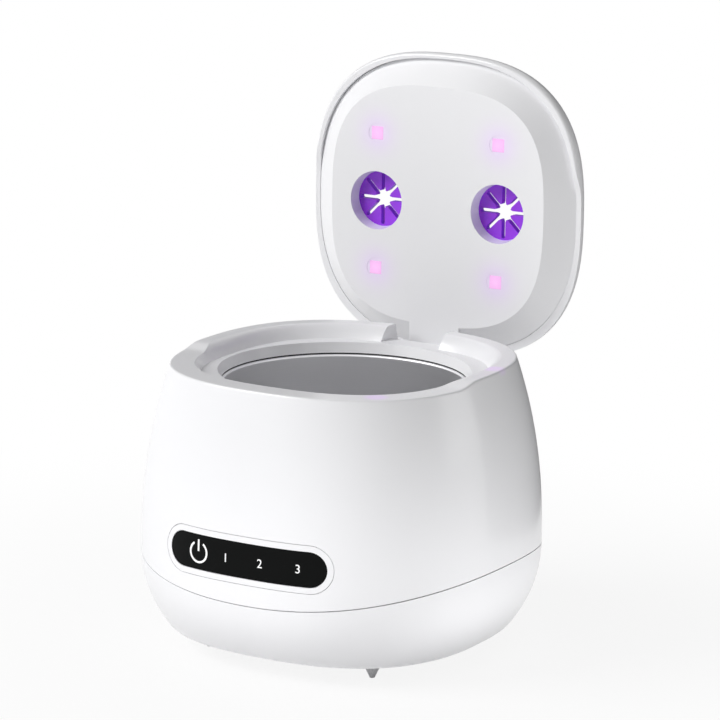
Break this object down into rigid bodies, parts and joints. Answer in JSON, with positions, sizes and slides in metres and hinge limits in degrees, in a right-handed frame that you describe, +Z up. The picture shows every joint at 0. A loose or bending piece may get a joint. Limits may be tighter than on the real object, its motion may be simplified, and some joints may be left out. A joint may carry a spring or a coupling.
{
  "type": "ultrasonic retainer cleaner",
  "caption": "Countertop ultrasonic bath for dental retainers: rounded-square body, round steel tank, hinged lid with ultraviolet lamps and slotted grommets.",
  "frame": {"origin": "on the body's upright axis, on the plane that the feet stand on", "axes": "+Z up, -Y towards the front with the control panel, +Y towards the hinge, +X to the right seen from the front"},
  "size_m": [0.1337, 0.1504, 0.2012],
  "materials": {
    "white_gloss": "gloss",
    "foot_rubber": "matte",
    "screw_steel": "satin",
    "tank_steel": "brushed",
    "gasket_rubber": "matte",
    "clamp_plastic": "matte",
    "piezo_ceramic": "matte",
    "adhesive": "matte",
    "circuit_board": "satin",
    "ferrite": "matte",
    "copper_winding": "satin",
    "can_aluminium": "satin",
    "heat_sink_aluminium": "satin",
    "black_plastic": "matte",
    "panel_black": "gloss",
    "foam": "matte",
    "indicator": "gloss",
    "nut_brass": "satin",
    "pin_steel": "satin",
    "lamp_window": "gloss",
    "uv_lamp": "gloss",
    "purple_silicone": "satin"
  },
  "bodies": {
    "base": {"upper_housing": "white_gloss", "base_cover": "white_gloss", "rubber_feet": "foot_rubber", "base_screws": "screw_steel", "tank": "tank_steel", "tank_gasket": "gasket_rubber", "clamp_ring": "clamp_plastic", "clamp_screws": "screw_steel", "piezo_disc": "piezo_ceramic", "adhesive_pad": "adhesive", "driver_board": "circuit_board", "board_screws": "screw_steel", "transformer_core": "ferrite", "transformer_winding": "copper_winding", "filter_capacitors": "can_aluminium", "heat_sink": "heat_sink_aluminium", "power_transistor": "black_plastic", "panel_surround": "white_gloss", "panel_window": "panel_black", "control_board": "circuit_board", "control_board_screws": "screw_steel", "touch_pad": "foam", "indicator_leds": "indicator", "power_inlet": "black_plastic", "inlet_nut": "nut_brass", "hinge_pin": "pin_steel"},
    "lid": {"lid_cover": "white_gloss", "lid_liner": "white_gloss", "led_windows": "lamp_window", "uv_leds": "uv_lamp", "lid_board": "circuit_board", "lid_board_screws": "screw_steel", "grommet_left": "purple_silicone", "grommet_right": "purple_silicone"}
  },
  "joints": [
    {"name": "lid_hinge", "type": "hinge", "parent": "base", "child": "lid", "pos_m": [0, 0.0557, 0.0902], "axis": [1, 0, 0], "range_deg": [0, 90]}
  ]
}
